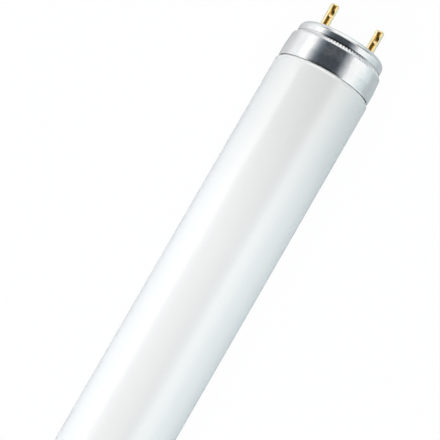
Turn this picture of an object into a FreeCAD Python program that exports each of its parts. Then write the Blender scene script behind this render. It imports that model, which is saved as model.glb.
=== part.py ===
import FreeCAD, Part
import math
import os

# Straight fluorescent tube of the 26 mm class with a two-pin cap at each end.
# Millimetres. The tube lies along X, its front end at +X, its lowest line at z = 0.
# Each end is drawn once, with its outer face at x = 0 and its inside at negative x.

Vector = FreeCAD.Vector
ALONG = Vector(1, 0, 0)

# Whole tube
face_to_face = 589.0
glass_radius = 12.75
pin_spacing = 12.7
half_length = face_to_face / 2
pin_offset = pin_spacing / 2

# Bulb: shoulder and neck, which the cap slides over
neck_depth = 1.05
neck_length = 6.2
shoulder_setback = 0.75
bulb_shoulder_rounding = 1.2
neck_rounding = 0.8

# Bulb: sealed end with its flared stem and exhaust stub
lip_width = 2.4
lip_rounding = 1.1
flare_depth = 1.9
flare_narrowing = 0.3
flare_rounding = 2.5
throat_depth = 7.0
throat_widening = 0.2
throat_rounding = 5.0
stem_radius = 3.8
stem_depth = 26.2
stem_rounding = 0.5
exhaust_radius = 2.0
exhaust_setback = 1.7
exhaust_rounding = 1.6

# Aluminium cap shell, drawn from one sheet
sheet_thickness = 0.3
cap_height = 10.6
cement_gap = 0.46
rim_curl_height = 0.4
rim_curl_depth = 0.15
rim_rounding = 0.5
skirt_straight = 3.1
skirt_taper = 0.31
skirt_bend_radius = 6.0
shoulder_height = 3.9
shoulder_rounding = 0.9
slope_run = 0.75
slope_drop = 0.6
groove_height = 3.05
groove_depth = 0.42
groove_rounding = 0.08
ring_height = 2.75
ring_step = 1.0
ring_edge_rounding = 1.6
face_width = 1.96

# Notches pressed all round the slope below the cap's shoulder
notch_count = 88
notch_radius = 0.2
notch_depth = 0.17
notch_overrun = 0.28

# Insulating pin plate, held in the shell's ring
plate_play = 0.06
land_play = 0.1
land_drop = 0.05
land_rounding = 0.15
web_thickness = 1.6
flange_wall = 1.2
flange_play = 0.35
boss_wall = 1.6
boss_height = 0.8

# Contact pins
pin_radius = 1.175
pin_reach = 7.5
pin_tip_rounding = 0.8
shank_step = 0.2
shank_play = 0.02
collar_width = 0.6
collar_height = 0.25
collar_rounding = 0.1
rivet_width = 0.7
rivet_thickness = 0.3
rivet_rounding = 0.15
pin_wall = 0.525
pin_tip_wall = 1.1
crimp_from_tip = 2.75
crimp_length = 1.4
crimp_ball_radius = 2.0
crimp_depth = 0.3

# Lead wires and cement
wire_radius = 0.3
wire_seal_depth = 1.0
wire_stem_run = 4.2
wire_pin_run = 2.0
wire_bend_radius = 2.0
wire_past_crimp = 0.5
cement_setback = 0.7
cement_length = 4.3

# Places that several pieces share, from the sizes above
rim_x = -cap_height
neck_radius = glass_radius - neck_depth
crest_x = rim_x + neck_length
stem_bottom = crest_x - stem_depth
rim_radius = neck_radius + cement_gap + sheet_thickness
shoulder_radius = rim_radius - skirt_taper
slope_end_height = shoulder_height - slope_run
slope_end_radius = shoulder_radius - slope_drop
ring_radius = rim_radius - ring_step
groove_radius = ring_radius - groove_depth
window_radius = ring_radius - face_width
web_end = -sheet_thickness - web_thickness
boss_end = web_end - boss_height
rivet_end = boss_end - rivet_thickness
shank_radius = pin_radius - shank_step
crimp_middle = pin_reach - crimp_from_tip
crimp_start = crimp_middle - crimp_length / 2
crimp_end = crimp_middle + crimp_length / 2


def corner_arc(before, corner, after, radius):
    """Start, middle and end of the tangent arc that rounds a corner."""
    back = (before - corner).normalize()
    ahead = (after - corner).normalize()
    half_angle = back.getAngle(ahead) / 2
    reach = radius / math.tan(half_angle)
    rise = radius / math.sin(half_angle) - radius
    bisector = (back + ahead).normalize()
    return corner + back * reach, corner + bisector * rise, corner + ahead * reach


def rounded_edges(corners, closed):
    """Lines and tangent arcs through (x, y, corner radius) points."""
    points = [Vector(x, y, 0) for x, y, radius in corners]
    count = len(points)
    bends = []
    for i, (x, y, radius) in enumerate(corners):
        if radius > 0:
            bends.append(corner_arc(points[i - 1], points[i], points[(i + 1) % count], radius))
        else:
            bends.append((points[i], None, points[i]))
    edges = []
    for i, (start, middle, end) in enumerate(bends):
        if middle is not None:
            edges.append(Part.Arc(start, middle, end).toShape())
        if i < count - 1 or closed:
            next_start = bends[(i + 1) % count][0]
            if end.distanceToPoint(next_start) > 1e-6:
                edges.append(Part.makeLine(end, next_start))
    return edges


def turned(corners):
    """Solid turned about the X axis from a closed outline of (x, radius, corner radius) points."""
    outline = Part.Face(Part.Wire(rounded_edges(corners, True)))
    return outline.revolve(Vector(0, 0, 0), ALONG, 360)


def inner_side(corners, thickness):
    """Corners of the inner side of a sheet whose outer side follows the corners towards +x."""
    points = [Vector(x, y, 0) for x, y, radius in corners]
    steps = [(b - a).normalize() for a, b in zip(points, points[1:])]
    sides = [Vector(step.y, -step.x, 0) * thickness for step in steps]
    first = points[0] + sides[0]
    last = points[-1] + sides[-1]
    inner = [(first.x, first.y, 0)]
    for i in range(1, len(points) - 1):
        both = sides[i - 1] + sides[i]
        corner = points[i] + both * (thickness ** 2 / both.dot(sides[i]))
        turns_in = steps[i - 1].cross(steps[i]).z < 0
        change = -thickness if turns_in else thickness
        inner.append((corner.x, corner.y, max(corners[i][2] + change, 0)))
    inner.append((last.x, last.y, 0))
    return inner


def shell_outside():
    """Outer side of the cap shell, from its rim round the shoulder and ring to the window."""
    return [
        (rim_x, rim_radius - rim_curl_depth, 0),
        (rim_x + rim_curl_height, rim_radius, rim_rounding),
        (rim_x + skirt_straight, rim_radius, skirt_bend_radius),
        (-shoulder_height, shoulder_radius, shoulder_rounding),
        (-slope_end_height, slope_end_radius, groove_rounding),
        (-groove_height, groove_radius, groove_rounding),
        (-ring_height, groove_radius, groove_rounding),
        (-ring_height, ring_radius, groove_rounding),
        (0, ring_radius, ring_edge_rounding),
        (0, window_radius, 0),
    ]


def make_notches():
    """Bars that press the notches into the slope, past both of its ends."""
    slope = Vector(slope_run, -slope_drop, 0).normalize()
    outward = Vector(-slope.y, slope.x, 0)
    top = Vector(-shoulder_height, shoulder_radius, 0) - slope * notch_overrun
    length = math.hypot(slope_run, slope_drop) + 2 * notch_overrun
    bar = Part.makeCylinder(notch_radius, length, top + outward * (notch_radius - notch_depth), slope)
    bars = []
    for i in range(notch_count):
        copy = bar.copy()
        copy.rotate(Vector(0, 0, 0), ALONG, 360 * i / notch_count)
        bars.append(copy)
    return Part.makeCompound(bars)


def make_cap_shell():
    outside = shell_outside()
    inside = inner_side(outside, sheet_thickness)
    return turned(outside + inside[::-1]).cut(make_notches())


def make_cement(bulb):
    """Ring of cement that fills the space between the bulb's neck and the skirt."""
    inside = inner_side(shell_outside(), sheet_thickness)
    room = turned(inside + [(inside[-1][0], 0, 0), (inside[0][0], 0, 0)])
    start = Vector(rim_x + cement_setback, 0, 0)
    filling = Part.makeCylinder(rim_radius, cement_length, start, ALONG)
    bore = Part.makeCylinder(neck_radius - neck_rounding, cement_length, start, ALONG)
    return filling.cut(bore).common(room).cut(bulb)


def make_pin_plate():
    """Moulded plate: a land in the window, a flange in the ring and a boss round each pin."""
    seat = -sheet_thickness
    flange_end = flange_play - ring_height
    flange_radius = ring_radius - sheet_thickness - plate_play
    land_radius = window_radius - land_play
    plate = turned([
        (-land_drop, 0, 0),
        (-land_drop, land_radius, land_rounding),
        (seat, land_radius, 0),
        (seat, flange_radius, ring_edge_rounding - sheet_thickness),
        (flange_end, flange_radius, 0),
        (flange_end, flange_radius - flange_wall, 0),
        (web_end, flange_radius - flange_wall, 0),
        (web_end, 0, 0),
    ])
    for side in (-1, 1):
        boss_place = Vector(boss_end, side * pin_offset, 0)
        plate = plate.fuse(Part.makeCylinder(shank_radius + boss_wall, boss_height, boss_place, ALONG))
    for side in (-1, 1):
        hole_place = Vector(boss_end, side * pin_offset, 0)
        plate = plate.cut(Part.makeCylinder(shank_radius + shank_play, -boss_end, hole_place, ALONG))
    return plate.removeSplitter()


def make_pin():
    """One hollow pin about the X axis, riveted through the plate and crimped on its wire."""
    bore_radius = pin_radius - pin_wall
    bore_end = pin_reach - pin_tip_wall
    cone = bore_radius - wire_radius
    pin = turned([
        (pin_reach, 0, 0),
        (pin_reach, pin_radius, pin_tip_rounding),
        (collar_height - land_drop, pin_radius, 0),
        (collar_height - land_drop, pin_radius + collar_width, collar_rounding),
        (-land_drop, pin_radius + collar_width, 0),
        (-land_drop, shank_radius, 0),
        (boss_end, shank_radius, 0),
        (boss_end, shank_radius + rivet_width, 0),
        (rivet_end, shank_radius + rivet_width, rivet_rounding),
        (rivet_end, bore_radius, 0),
        (crimp_start - cone, bore_radius, 0),
        (crimp_start, wire_radius, 0),
        (crimp_end, wire_radius, 0),
        (crimp_end + cone, bore_radius, 0),
        (bore_end, bore_radius, 0),
        (bore_end, 0, 0),
    ])
    for side in (-1, 1):
        height = side * (pin_radius - crimp_depth + crimp_ball_radius)
        pin = pin.cut(Part.makeSphere(crimp_ball_radius, Vector(crimp_middle, 0, height)))
    return pin


def make_wire(side):
    """Lead wire from its seal in the glass stem to the crimp in the pin on one side."""
    stem_offset = (exhaust_radius + stem_radius) / 2
    start_x = stem_bottom - wire_seal_depth
    route = [
        (start_x, side * stem_offset, 0),
        (crest_x - wire_stem_run, side * stem_offset, wire_bend_radius),
        (rivet_end - wire_pin_run, side * pin_offset, wire_bend_radius),
        (crimp_end + wire_past_crimp, side * pin_offset, 0),
    ]
    path = Part.Wire(rounded_edges(route, False))
    section = Part.Wire(Part.makeCircle(wire_radius, Vector(start_x, side * stem_offset, 0), ALONG))
    return path.makePipeShell([section], True, False)


def bulb_end():
    """Corners of one end of the bulb, from its side to the axis."""
    mouth_radius = neck_radius - lip_width
    exhaust_tip = crest_x - exhaust_setback
    return [
        (rim_x - shoulder_setback, glass_radius, bulb_shoulder_rounding),
        (rim_x - shoulder_setback + neck_depth, neck_radius, neck_rounding),
        (crest_x, neck_radius, lip_rounding),
        (crest_x, mouth_radius, lip_rounding),
        (crest_x - flare_depth, mouth_radius - flare_narrowing, flare_rounding),
        (crest_x - throat_depth, stem_radius + throat_widening, throat_rounding),
        (stem_bottom, stem_radius, stem_rounding),
        (stem_bottom, exhaust_radius, 0),
        (exhaust_tip, exhaust_radius, exhaust_rounding),
        (exhaust_tip, 0, 0),
    ]


def make_bulb():
    """The sealed bulb about its own axis, one outline for both ends."""
    front = [(half_length + x, radius, rounding) for x, radius, rounding in bulb_end()]
    rear = [(-x, radius, rounding) for x, radius, rounding in reversed(front)]
    return turned(rear + front)


def moved(shape, x, y, z):
    copy = shape.copy()
    copy.translate(Vector(x, y, z))
    return copy


def placed(shape, end):
    """A piece of one end, moved to the front of the tube or turned round to its rear."""
    at_front = moved(shape, half_length, 0, glass_radius)
    if end == "rear":
        at_front.rotate(Vector(0, 0, 0), Vector(0, 0, 1), 180)
    return at_front


def build():
    """Every solid of the tube by its name. Left is an end's own +y before it is placed."""
    bulb = make_bulb()
    once = {
        "cap_shell": make_cap_shell(),
        "pin_plate": make_pin_plate(),
        "cement_ring": make_cement(moved(bulb, -half_length, 0, 0)),
    }
    pin = make_pin()
    bulb = moved(bulb, 0, 0, glass_radius)
    solids = {}
    for end in ("front", "rear"):
        for name, shape in once.items():
            solids[f"{name}_{end}"] = placed(shape, end)
        for name, side in (("left", 1), ("right", -1)):
            wire = placed(make_wire(side), end)
            solids[f"lead_wire_{end}_{name}"] = wire
            solids[f"contact_pin_{end}_{name}"] = placed(moved(pin, 0, side * pin_offset, 0), end)
            bulb = bulb.cut(wire)
    solids["glass_bulb"] = bulb
    return solids


os.makedirs("parts", exist_ok=True)
for node, shape in build().items():
    shape.Solids[0].exportStep(f"parts/{node}.step")
    print(node, len(shape.Solids), "solid", shape.isValid(), round(shape.Volume, 2), "mm3")
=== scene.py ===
import math

import bpy
from mathutils import Matrix, Vector


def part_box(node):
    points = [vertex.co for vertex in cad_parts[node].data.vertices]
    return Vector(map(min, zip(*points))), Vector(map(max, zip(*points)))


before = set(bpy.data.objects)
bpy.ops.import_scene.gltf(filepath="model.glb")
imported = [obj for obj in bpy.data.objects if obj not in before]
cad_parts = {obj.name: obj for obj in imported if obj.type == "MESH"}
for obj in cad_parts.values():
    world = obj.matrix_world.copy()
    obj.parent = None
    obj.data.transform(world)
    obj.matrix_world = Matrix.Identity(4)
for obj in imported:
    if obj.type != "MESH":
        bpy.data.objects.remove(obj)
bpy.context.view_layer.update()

# The tube lies along X on a white floor, its front end at +X. Metres.

# Photograph's frame
IMAGE_SIZE = 440
PIXELS_PER_METRE = 4100.0
CAMERA_DISTANCE = 3.0
SENSOR_WIDTH = 36.0
CLIP_END = 100.0

# The cap leans away from the camera, and the +Y pin is the nearer one
CAP_TILT = math.radians(12.0)
PIN_TURN = math.radians(4.0)
TUBE_ANGLE_IN_PICTURE = math.radians(60.0)

# The pixel that shows the point of the tube's axis at the front cap's rim
RIM_PIXEL = (322.55, 80.23)

glass_low, glass_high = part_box("glass_bulb")
shell_low, shell_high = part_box("cap_shell_front")
AXIS_HEIGHT = (glass_low.z + glass_high.z) / 2

# Painted shade in the upper side of a cap shell's groove: it sets in below this radius, behind this depth
# from the cap's face, and above this height over the axis. Each pair runs from none to full.
GROOVE_SHADE_RADII = (0.01148, 0.01136)
GROOVE_SHADE_DEPTHS = (0.0026, 0.0027)
GROOVE_SHADE_HEIGHTS = (0.0086, 0.0104)

# Surroundings by the angle round the tube from straight up, clockwise seen from the
# front end: a place in degrees, a level and a tint. The gloss shows one set, with a
# softbox on each side and little between them. The other set lights the matt surfaces.
# Both sets started from the photograph's brightness across the tube, read off the cap for the gloss and
# fitted to the glass for the matt surfaces, and were then changed.
WHITE = (1, 1, 1, 1)
NEUTRAL = (1.0, 1.0, 1.0)
WARM = (1.035, 1.0, 0.965)
SKY = (0.93, 0.98, 1.12)
COOL = (0.93, 1.0, 1.02)
FAINT = (0.985, 1.0, 1.003)
CYAN = (0.68, 0.98, 1.12)
SLATE = (0.68, 0.82, 1.0)
PALE_SLATE = (0.86, 0.96, 1.06)
GLOSS_BANDS = [
    (-90, 1.3, NEUTRAL),
    (-67, 1.3, NEUTRAL),
    (-64, 0.85, NEUTRAL),
    (-55, 0.42, PALE_SLATE),
    (-45, 0.16, SLATE),
    (-36, 0.09, SLATE),
    (-27, 0.08, SLATE),
    (12, 0.08, SLATE),
    (22, 0.42, PALE_SLATE),
    (29, 0.66, FAINT),
    (32, 0.75, FAINT),
    (35, 1.16, FAINT),
    (74, 1.13, FAINT),
    (84, 1.05, COOL),
    (90, 0.85, COOL),
]
SOFT_BANDS = [
    (-90, 5.0, COOL),
    (-78, 0.7, COOL),
    (-64, 0.1, COOL),
    (-46, 0.3, SKY),
    (-30, 1.05, SKY),
    (-14, 2.1, WARM),
    (0, 2.25, WARM),
    (14, 1.1, WARM),
    (40, 0.1, CYAN),
    (56, 0.68, CYAN),
    (74, 0.6, CYAN),
    (90, 0.4, COOL),
]
TURN = 360.0

# The gloss past the softboxes' front ends, by the same angle, and the pale room beyond.
# Each pair is a reflection's X direction where the change starts and where it is full.
END_BANDS = [
    (-90, 0.35, COOL),
    (-62, 0.35, COOL),
    (-50, 1.1, NEUTRAL),
    (22, 1.1, NEUTRAL),
    (34, 0.35, COOL),
    (90, 0.35, COOL),
]
SOFTBOX_END = (0.48, 0.62)
ROOM_START = (0.8, 0.88)
ROOM_LEVEL = 1.2

# The gloss behind the softboxes' rear ends
REAR_BANDS = [
    (-90, 1.25, NEUTRAL),
    (-69, 1.25, NEUTRAL),
    (-58, 0.2, COOL),
    (-46, 0.03, SLATE),
    (14, 0.03, SLATE),
    (30, 0.4, COOL),
    (36, 1.25, COOL),
    (90, 1.0, COOL),
]
SOFTBOX_START = (-0.15, -0.35)

# A darker place low on the right, which the straight parts of the skirt and glass reflect
SHADE_ANGLES = (math.radians(50.0), math.radians(78.0))
SHADE_REACH = (0.3, 0.2)
SHADE_COLOUR = (0.36, 0.56, 0.58, 1)
SHADE_SHARE = 0.5

# Floor: the share that the camera sees as plain white, which leaves only a trace of the
# tube's shadow, and the share that the gloss sees at the levels below
FLOOR_SIZE = 60.0
FLOOR_COLOUR = (0.83, 0.87, 0.9, 1)
FLOOR_WHITE = 1.0
FLOOR_SEEN_WHITE = 0.96
FLOOR_MIRRORED = 0.6

# The floor in the gloss is dark beneath the tube, a painted shadow, and pale away from it, more so on the
# lit side, and white past the tube's ends
FLOOR_NEAR = 0.42
FLOOR_LEFT_RISE = 0.78
FLOOR_LEFT_REACH = 0.07
FLOOR_RIGHT_RISE = 0.47
FLOOR_RIGHT_REACH = 0.15
FLOOR_RIGHT_TINT = (0.86, 1.0, 1.03, 1)
FLOOR_DARK_TO = 0.01
FLOOR_PALE_FROM = 0.02
FLOOR_PAINTED_SHADOW_LEVEL = 0.1
FLOOR_END_LEVEL = 1.1
FLOOR_END_REACH = 0.003

# The darker strip beside each cap on the other side: where it sets in and where it ends,
# measured along the tube. Both move outwards with the distance from it, by the slant.
FLOOR_SHADE_SLANT = -0.21
FLOOR_SHADE_FROM = (0.25, 0.28)
FLOOR_SHADE_TO = (0.296, 0.286)
FLOOR_SHADE_SHARE = 0.7

# A mix node's sockets in its colour form, where names are shared by several
MIX_SHARE = 0
MIX_FIRST = 6
MIX_SECOND = 7
MIX_RESULT = 2


def set_inputs(tree, node, values):
    """Sets a node's sockets, by name or number, or joins them to outputs."""
    for name, value in values.items():
        if isinstance(value, bpy.types.NodeSocket):
            tree.links.new(value, node.inputs[name])
        else:
            node.inputs[name].default_value = value


def add(tree, kind, inputs=None, **settings):
    """A new node with its settings, and its sockets set or joined."""
    node = tree.nodes.new(kind)
    for name, value in settings.items():
        setattr(node, name, value)
    set_inputs(tree, node, inputs or {})
    return node


def math_node(tree, operation, *values):
    node = add(tree, "ShaderNodeMath", dict(enumerate(values)), operation=operation)
    return node.outputs["Value"]


def span(tree, value, low, high, to_low=0.0, to_high=1.0):
    """A smooth step of a value from one level to another."""
    node = add(tree, "ShaderNodeMapRange", {
        "Value": value,
        "From Min": low,
        "From Max": high,
        "To Min": to_low,
        "To Max": to_high,
    }, interpolation_type="SMOOTHSTEP")
    return node.outputs["Result"]


def mix_colour(tree, share, first, second):
    node = add(tree, "ShaderNodeMix", {
        MIX_SHARE: share,
        MIX_FIRST: first,
        MIX_SECOND: second,
    }, data_type="RGBA")
    return node.outputs[MIX_RESULT]


def noise(tree, place, stretch, scale, detail, roughness=0.5):
    """Noise whose grain is drawn out by the stretch of its coordinates."""
    stretched = add(tree, "ShaderNodeMapping", {"Vector": place, "Scale": stretch})
    node = add(tree, "ShaderNodeTexNoise", {
        "Vector": stretched.outputs["Vector"],
        "Scale": scale,
        "Detail": detail,
        "Roughness": roughness,
    })
    return node.outputs["Fac"]


def bump(tree, height, depth, normal=None):
    """A bump at full strength, over another one if given."""
    inputs = {"Height": height, "Distance": depth, "Strength": 1.0}
    if normal is not None:
        inputs["Normal"] = normal
    return add(tree, "ShaderNodeBump", inputs).outputs["Normal"]


def new_material(name):
    material = bpy.data.materials.new(name)
    material.use_nodes = True
    tree = material.node_tree
    tree.nodes.clear()
    place = add(tree, "ShaderNodeTexCoord").outputs["Object"]
    shader = add(tree, "ShaderNodeBsdfPrincipled")
    add(tree, "ShaderNodeOutputMaterial", {"Surface": shader.outputs["BSDF"]})
    return material, tree, shader, place


# Noise: the stretch of its coordinates, its scale, its detail and, if given, its roughness.
# Levels: where a noise's share starts and finishes, then what it gives there if not 0 and 1.
# Depths of bumps and other lengths are in metres.
EVEN = (1, 1, 1)
LENGTHWISE = (0.08, 1, 1)
DRAWN_OUT = (0.02, 1, 1)
ROUND_PIN = (1, 0.1, 0.1)

# Coated glass. Its gloss has an index well above real glass's 1.5, so it mirrors more.
# Coating colour: darker and warmer near the caps, paler towards the middle
COATING_NEAR_CAP = (0.74, 0.745, 0.725, 1)
COATING_MIDDLE = (0.905, 0.91, 0.9, 1)
COATING_FROM_CAP = (-0.015, 0.055)
# Painted light: a paler line in the last millimetre beside each cap, lifting the cap's shade on the glass
PAINTED_LIGHT_AT_CAP = (0.93, 0.93, 0.92, 1)
PAINTED_LIGHT_AT_CAP_REACH = (0.001, 0.0003)
COATING_ROUGHNESS = 0.7
CLOUD_NOISE = (LENGTHWISE, 160.0, 3.0)
CLOUD_LEVELS = (0.3, 0.7, 0.0, 0.06)
CLOUD_COLOUR = (0.8, 0.8, 0.78, 1)
SPECK_NOISE = (EVEN, 1800.0, 2.0)
SPECK_LEVELS = (0.5, 0.8, 0.0, 0.08)
SPECK_COLOUR = (0.7, 0.7, 0.68, 1)
WAVE_NOISE = (DRAWN_OUT, 220.0, 1.0)
WAVE_DEPTH = 0.00001
GLASS_ROUGHNESS = 0.012
GLASS_IOR = 2.0


def glass_material():
    """White coating under clear glass, darker and warmer towards the caps, with a pale line of painted
    light beside each cap.
    """
    material, tree, shader, place = new_material("coated_glass")
    x = add(tree, "ShaderNodeSeparateXYZ", {"Vector": place}).outputs["X"]
    from_cap = math_node(tree, "SUBTRACT", shell_low.x, math_node(tree, "ABSOLUTE", x))
    toward_middle = span(tree, from_cap, *COATING_FROM_CAP)
    cloud = noise(tree, place, *CLOUD_NOISE)
    speck = noise(tree, place, *SPECK_NOISE)
    coating = mix_colour(tree, toward_middle, COATING_NEAR_CAP, COATING_MIDDLE)
    # Painted light beside each cap, against the cap's shade there
    painted_light_at_cap = span(tree, from_cap, *PAINTED_LIGHT_AT_CAP_REACH)
    coating = mix_colour(tree, painted_light_at_cap, coating, PAINTED_LIGHT_AT_CAP)
    clouded = mix_colour(tree, span(tree, cloud, *CLOUD_LEVELS), coating, CLOUD_COLOUR)
    colour = mix_colour(tree, span(tree, speck, *SPECK_LEVELS), clouded, SPECK_COLOUR)
    waves = noise(tree, place, *WAVE_NOISE)
    set_inputs(tree, shader, {
        "Base Color": colour,
        "Roughness": COATING_ROUGHNESS,
        "Specular IOR Level": 0.0,
        "Coat Weight": 1.0,
        "Coat Roughness": GLASS_ROUGHNESS,
        "Coat IOR": GLASS_IOR,
        "Coat Normal": bump(tree, waves, WAVE_DEPTH),
    })
    return material


def painted_groove_shade_mask(tree, place):
    """One in the upper part of each cap's groove, behind its ring, where shade is painted, and zero
    elsewhere.
    """
    parts = add(tree, "ShaderNodeSeparateXYZ", {"Vector": place})
    y = parts.outputs["Y"]
    height = math_node(tree, "SUBTRACT", parts.outputs["Z"], AXIS_HEIGHT)
    y_squared = math_node(tree, "POWER", y, 2.0)
    height_squared = math_node(tree, "POWER", height, 2.0)
    radius = math_node(tree, "SQRT", math_node(tree, "ADD", y_squared, height_squared))
    from_middle = math_node(tree, "ABSOLUTE", parts.outputs["X"])
    sunk = span(tree, radius, *GROOVE_SHADE_RADII)
    behind_ring = span(tree, from_middle, *(shell_high.x - depth for depth in GROOVE_SHADE_DEPTHS))
    in_groove = math_node(tree, "MULTIPLY", sunk, behind_ring)
    return math_node(tree, "MULTIPLY", in_groove, span(tree, height, *GROOVE_SHADE_HEIGHTS))


# Drawn aluminium
SHEET_CLEAN = (0.86, 0.86, 0.85, 1)
SHEET_FILMED = (0.78, 0.785, 0.79, 1)
# Colour of the painted shade in the groove's upper side
GROOVE_SHADE_COLOUR = (0.24, 0.25, 0.265, 1)
FILM_NOISE = (EVEN, 250.0, 3.0)
FILM_LEVELS = (0.3, 0.75)
DRAW_LINE_NOISE = (LENGTHWISE, 3500.0, 2.0)
DRAW_LINE_DEPTH = 0.000004
GRAIN_NOISE = (EVEN, 2200.0, 3.0, 0.7)
GRAIN_DEPTH = 0.000016
SHEET_ROUGHNESS_LEVELS = (0.3, 0.7, 0.12, 0.25)


def aluminium_material():
    """Drawn aluminium with lengthwise drawing lines, a fine grain and painted shade in its groove."""
    material, tree, shader, place = new_material("drawn_aluminium")
    # Painted shade on the upper side of each groove
    groove_shade = painted_groove_shade_mask(tree, place)
    lines = noise(tree, place, *DRAW_LINE_NOISE)
    grain = noise(tree, place, *GRAIN_NOISE)
    film = noise(tree, place, *FILM_NOISE)
    lined = bump(tree, lines, DRAW_LINE_DEPTH)
    bright = mix_colour(tree, span(tree, film, *FILM_LEVELS), SHEET_CLEAN, SHEET_FILMED)
    set_inputs(tree, shader, {
        "Base Color": mix_colour(tree, groove_shade, bright, GROOVE_SHADE_COLOUR),
        "Metallic": 1.0,
        "Roughness": span(tree, grain, *SHEET_ROUGHNESS_LEVELS),
        "Normal": bump(tree, grain, GRAIN_DEPTH, lined),
    })
    return material


# Brass of the pins. It starts to pale 16 degrees off face on and is palest from 46 degrees,
# far sooner than real brass
BRASS_CLEAN = (1.0, 0.57, 0.13, 1)
BRASS_TARNISHED = (0.66, 0.33, 0.06, 1)
BRASS_AT_GRAZING = (0.96, 0.88, 0.58, 1)
GRAZING_BLEND = 0.5
GRAZING_LEVELS = (0.04, 0.3)
TARNISH_NOISE = (EVEN, 1300.0, 4.0, 0.6)
TARNISH_LEVELS = (0.45, 0.75)
TARNISH_DEPTH = 0.0001
TURNED_RING_NOISE = (ROUND_PIN, 5000.0, 2.0)
TURNED_RING_DEPTH = 0.000004
BRASS_ROUGHNESS_LEVELS = (0.3, 0.8, 0.17, 0.32)


def brass_material():
    """Turned brass, paler where it turns away, with faint rings round it and some tarnish."""
    material, tree, shader, place = new_material("pin_brass")
    rings = noise(tree, place, *TURNED_RING_NOISE)
    tarnish = noise(tree, place, *TARNISH_NOISE)
    grazing = add(tree, "ShaderNodeLayerWeight", {"Blend": GRAZING_BLEND}).outputs["Facing"]
    worn = mix_colour(tree, span(tree, tarnish, *TARNISH_LEVELS), BRASS_CLEAN, BRASS_TARNISHED)
    ringed = bump(tree, rings, TURNED_RING_DEPTH)
    set_inputs(tree, shader, {
        "Base Color": mix_colour(tree, span(tree, grazing, *GRAZING_LEVELS), worn, BRASS_AT_GRAZING),
        "Metallic": 1.0,
        "Roughness": span(tree, tarnish, *BRASS_ROUGHNESS_LEVELS),
        "Normal": bump(tree, tarnish, TARNISH_DEPTH, ringed),
    })
    return material


# Phenolic of the pin plates
PHENOLIC_COLOUR = (0.03, 0.026, 0.024, 1)
FLECK_COLOUR = (0.09, 0.065, 0.05, 1)
FLECK_NOISE = (EVEN, 2600.0, 3.0, 0.6)
FLECK_LEVELS = (0.5, 0.75)
SKIN_NOISE = (EVEN, 700.0, 3.0)
SKIN_DEPTH = 0.00003
SKIN_ROUGHNESS_LEVELS = (0.3, 0.7, 0.35, 0.55)


def insulator_material():
    """Pressed phenolic with its filler showing as small flecks."""
    material, tree, shader, place = new_material("pin_insulator")
    flecks = noise(tree, place, *FLECK_NOISE)
    skin = noise(tree, place, *SKIN_NOISE)
    set_inputs(tree, shader, {
        "Base Color": mix_colour(tree, span(tree, flecks, *FLECK_LEVELS), PHENOLIC_COLOUR, FLECK_COLOUR),
        "Roughness": span(tree, skin, *SKIN_ROUGHNESS_LEVELS),
        "Normal": bump(tree, skin, SKIN_DEPTH),
    })
    return material


# Cement inside the caps
CEMENT_PALE = (0.52, 0.46, 0.36, 1)
CEMENT_DARK = (0.4, 0.34, 0.25, 1)
CEMENT_ROUGHNESS = 0.9
STAIN_NOISE = (EVEN, 400.0, 3.0)
STAIN_LEVELS = (0.3, 0.7)
GRIT_NOISE = (EVEN, 2500.0, 4.0, 0.7)
GRIT_DEPTH = 0.00008


def cement_material():
    """Fired cement, gritty and uneven in colour."""
    material, tree, shader, place = new_material("cap_cement")
    grit = noise(tree, place, *GRIT_NOISE)
    stain = noise(tree, place, *STAIN_NOISE)
    set_inputs(tree, shader, {
        "Base Color": mix_colour(tree, span(tree, stain, *STAIN_LEVELS), CEMENT_PALE, CEMENT_DARK),
        "Roughness": CEMENT_ROUGHNESS,
        "Normal": bump(tree, grit, GRIT_DEPTH),
    })
    return material


# Lead wires inside the caps
WIRE_BRIGHT = (0.66, 0.63, 0.6, 1)
WIRE_OXIDISED = (0.42, 0.37, 0.33, 1)
OXIDE_NOISE = (EVEN, 1200.0, 3.0)
OXIDE_LEVELS = (0.4, 0.75)
WIRE_LINE_NOISE = (LENGTHWISE, 6000.0, 2.0)
WIRE_LINE_DEPTH = 0.000005
WIRE_ROUGHNESS_LEVELS = (0.3, 0.8, 0.25, 0.5)


def wire_material():
    """Drawn wire with lines along it and a dull oxide in patches."""
    material, tree, shader, place = new_material("lead_wire")
    lines = noise(tree, place, *WIRE_LINE_NOISE)
    oxide = noise(tree, place, *OXIDE_NOISE)
    set_inputs(tree, shader, {
        "Base Color": mix_colour(tree, span(tree, oxide, *OXIDE_LEVELS), WIRE_BRIGHT, WIRE_OXIDISED),
        "Metallic": 1.0,
        "Roughness": span(tree, oxide, *WIRE_ROUGHNESS_LEVELS),
        "Normal": bump(tree, lines, WIRE_LINE_DEPTH),
    })
    return material


def dress():
    """Gives each CAD node its finished material."""
    kinds = {
        "glass_bulb": glass_material(),
        "cap_shell": aluminium_material(),
        "contact_pin": brass_material(),
        "pin_plate": insulator_material(),
        "cement_ring": cement_material(),
        "lead_wire": wire_material(),
    }
    for name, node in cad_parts.items():
        for start, material in kinds.items():
            if name.startswith(start):
                node.data.materials.clear()
                node.data.materials.append(material)


def picture_axes():
    """The camera's right, up and back directions, with the tube at its angle in the picture."""
    back = Vector((
        -math.sin(CAP_TILT),
        math.cos(CAP_TILT) * math.sin(PIN_TURN),
        math.cos(CAP_TILT) * math.cos(PIN_TURN),
    ))
    along = Vector((1, 0, 0))
    along = (along - back * along.dot(back)).normalized()
    across = along.cross(back)
    turn = TUBE_ANGLE_IN_PICTURE
    right = along * math.cos(turn) + across * math.sin(turn)
    up = along * math.sin(turn) - across * math.cos(turn)
    return right, up, back


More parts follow.
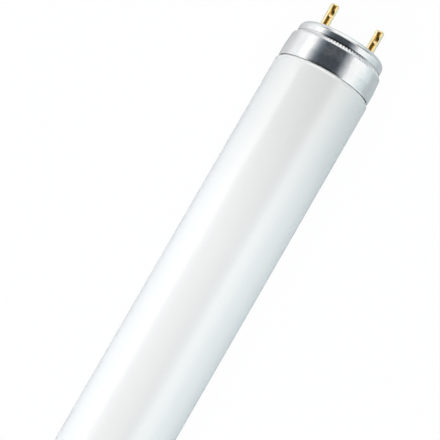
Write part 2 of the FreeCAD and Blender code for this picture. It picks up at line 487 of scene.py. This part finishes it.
def make_camera():
    right, up, back = picture_axes()
    rim = Vector((shell_low.x, 0, AXIS_HEIGHT))
    half = IMAGE_SIZE / 2
    aim = rim - right * ((RIM_PIXEL[0] - half) / PIXELS_PER_METRE)
    aim -= up * ((half - RIM_PIXEL[1]) / PIXELS_PER_METRE)
    data = bpy.data.cameras.new("camera")
    data.sensor_width = SENSOR_WIDTH
    data.lens = SENSOR_WIDTH * CAMERA_DISTANCE * PIXELS_PER_METRE / IMAGE_SIZE
    data.clip_end = CLIP_END
    camera = bpy.data.objects.new("camera", data)
    bpy.context.scene.collection.objects.link(camera)
    place = aim + back * CAMERA_DISTANCE
    axes = Matrix((right, up, back)).transposed().to_4x4()
    camera.matrix_world = Matrix.Translation(place) @ axes
    bpy.context.scene.camera = camera


def angle_bands(tree, share, bands):
    """A colour ramp over the angle; returns its colour and the strength to give it."""
    ramp = add(tree, "ShaderNodeValToRGB", {"Fac": share})
    elements = ramp.color_ramp.elements
    strongest = max(level * max(tint) for degrees, level, tint in bands)
    while len(elements) > 1:
        elements.remove(elements[-1])
    for i, (degrees, level, tint) in enumerate(bands):
        position = (degrees + TURN / 2) / TURN
        element = elements[0] if i == 0 else elements.new(position)
        element.position = position
        element.color = (*(level * part / strongest for part in tint), 1)
    return ramp.outputs["Color"], strongest


def background(tree, colour, strength):
    node = add(tree, "ShaderNodeBackground", {"Color": colour, "Strength": strength})
    return node.outputs["Background"]


def mix_shader(tree, share, first, second):
    node = add(tree, "ShaderNodeMixShader", dict(enumerate((share, first, second))))
    return node.outputs["Shader"]


def world_in_gloss(tree, x, angle, share):
    """The softboxes, the darker place, and what lies past the softboxes' ends."""
    past_softbox = span(tree, x, *SOFTBOX_END)
    in_room = span(tree, x, *ROOM_START)
    behind = span(tree, x, *SOFTBOX_START)
    low_right = math_node(
        tree, "MULTIPLY",
        span(tree, angle, *SHADE_ANGLES, 0.0, SHADE_SHARE),
        span(tree, x, *SHADE_REACH))
    gloss = background(tree, *angle_bands(tree, share, GLOSS_BANDS))
    shade = background(tree, SHADE_COLOUR, 1.0)
    end = background(tree, *angle_bands(tree, share, END_BANDS))
    room = background(tree, WHITE, ROOM_LEVEL)
    rear = background(tree, *angle_bands(tree, share, REAR_BANDS))
    gloss = mix_shader(tree, low_right, gloss, shade)
    gloss = mix_shader(tree, past_softbox, gloss, end)
    gloss = mix_shader(tree, in_room, gloss, room)
    return mix_shader(tree, behind, gloss, rear)


def make_world():
    """Light by the kind of ray: soft bands for matt surfaces, others for gloss, plain white for sight."""
    world = bpy.data.worlds.new("studio")
    bpy.context.scene.world = world
    world.use_nodes = True
    world.cycles.sampling_method = "NONE"
    tree = world.node_tree
    tree.nodes.clear()
    place = add(tree, "ShaderNodeTexCoord").outputs["Generated"]
    parts = add(tree, "ShaderNodeSeparateXYZ", {"Vector": place})
    across = math_node(tree, "MULTIPLY", parts.outputs["Y"], -1.0)
    angle = math_node(tree, "ARCTAN2", across, parts.outputs["Z"])
    share = math_node(tree, "MULTIPLY_ADD", angle, 1 / math.tau, 0.5)
    path = add(tree, "ShaderNodeLightPath")
    gloss = world_in_gloss(tree, parts.outputs["X"], angle, share)
    soft = background(tree, *angle_bands(tree, share, SOFT_BANDS))
    white = background(tree, WHITE, 1.0)
    lit = mix_shader(tree, path.outputs["Is Glossy Ray"], soft, gloss)
    seen = mix_shader(tree, path.outputs["Is Camera Ray"], lit, white)
    add(tree, "ShaderNodeOutputWorld", {"Surface": seen})


def floor_in_gloss(tree):
    """The tint and the level that the gloss sees at each place on the floor."""
    place = add(tree, "ShaderNodeTexCoord").outputs["Object"]
    parts = add(tree, "ShaderNodeSeparateXYZ", {"Vector": place})
    x = math_node(tree, "ABSOLUTE", parts.outputs["X"])
    y = parts.outputs["Y"]
    left = span(tree, y, 0.0, FLOOR_LEFT_REACH, FLOOR_NEAR, FLOOR_NEAR + FLOOR_LEFT_RISE)
    right = span(tree, y, 0.0, -FLOOR_RIGHT_REACH, FLOOR_NEAR, FLOOR_NEAR + FLOOR_RIGHT_RISE)
    from_tube = math_node(tree, "ABSOLUTE", y)
    along = math_node(tree, "MULTIPLY_ADD", from_tube, FLOOR_SHADE_SLANT, x)
    by_cap = math_node(
        tree, "MULTIPLY",
        span(tree, along, *FLOOR_SHADE_FROM),
        span(tree, along, *FLOOR_SHADE_TO, 0.0, FLOOR_SHADE_SHARE))
    right = math_node(tree, "MULTIPLY", right, math_node(tree, "SUBTRACT", 1.0, by_cap))
    on_left = math_node(tree, "GREATER_THAN", y, 0.0)
    tint = mix_colour(tree, on_left, FLOOR_RIGHT_TINT, WHITE)
    # Painted shadow beneath the tube, in what the gloss sees of the floor
    beside = span(tree, from_tube, FLOOR_DARK_TO, FLOOR_PALE_FROM, FLOOR_PAINTED_SHADOW_LEVEL, 1.0)
    in_line = span(tree, from_tube, FLOOR_DARK_TO, FLOOR_PALE_FROM, FLOOR_END_LEVEL, 0.0)
    past_face = span(tree, x, shell_high.x, shell_high.x + FLOOR_END_REACH)
    past_end = math_node(tree, "MULTIPLY", in_line, past_face)
    level = math_node(tree, "MULTIPLY", math_node(tree, "MAXIMUM", left, right), beside)
    return tint, math_node(tree, "MAXIMUM", level, past_end)


def make_floor():
    """White floor with only a trace of the tube's shadow, and its own levels in the gloss."""
    bpy.ops.mesh.primitive_plane_add(size=FLOOR_SIZE)
    floor = bpy.context.object
    floor.name = "floor"
    material = bpy.data.materials.new("floor")
    material.use_nodes = True
    tree = material.node_tree
    tree.nodes.clear()
    tint, level = floor_in_gloss(tree)
    path = add(tree, "ShaderNodeLightPath")
    matt = add(tree, "ShaderNodeBsdfDiffuse", {"Color": FLOOR_COLOUR}).outputs["BSDF"]
    white = add(tree, "ShaderNodeEmission", {"Strength": FLOOR_WHITE}).outputs["Emission"]
    in_gloss = add(tree, "ShaderNodeEmission", {"Color": tint, "Strength": level}).outputs["Emission"]
    seen = math_node(tree, "MULTIPLY", path.outputs["Is Camera Ray"], FLOOR_SEEN_WHITE)
    mirrored = math_node(tree, "MULTIPLY", path.outputs["Is Glossy Ray"], FLOOR_MIRRORED)
    shown = mix_shader(tree, mirrored, matt, in_gloss)
    shown = mix_shader(tree, seen, shown, white)
    add(tree, "ShaderNodeOutputMaterial", {"Surface": shown})
    floor.data.materials.append(material)


dress()
make_camera()
make_world()
make_floor()

bpy.context.scene.view_settings.view_transform = "Standard"
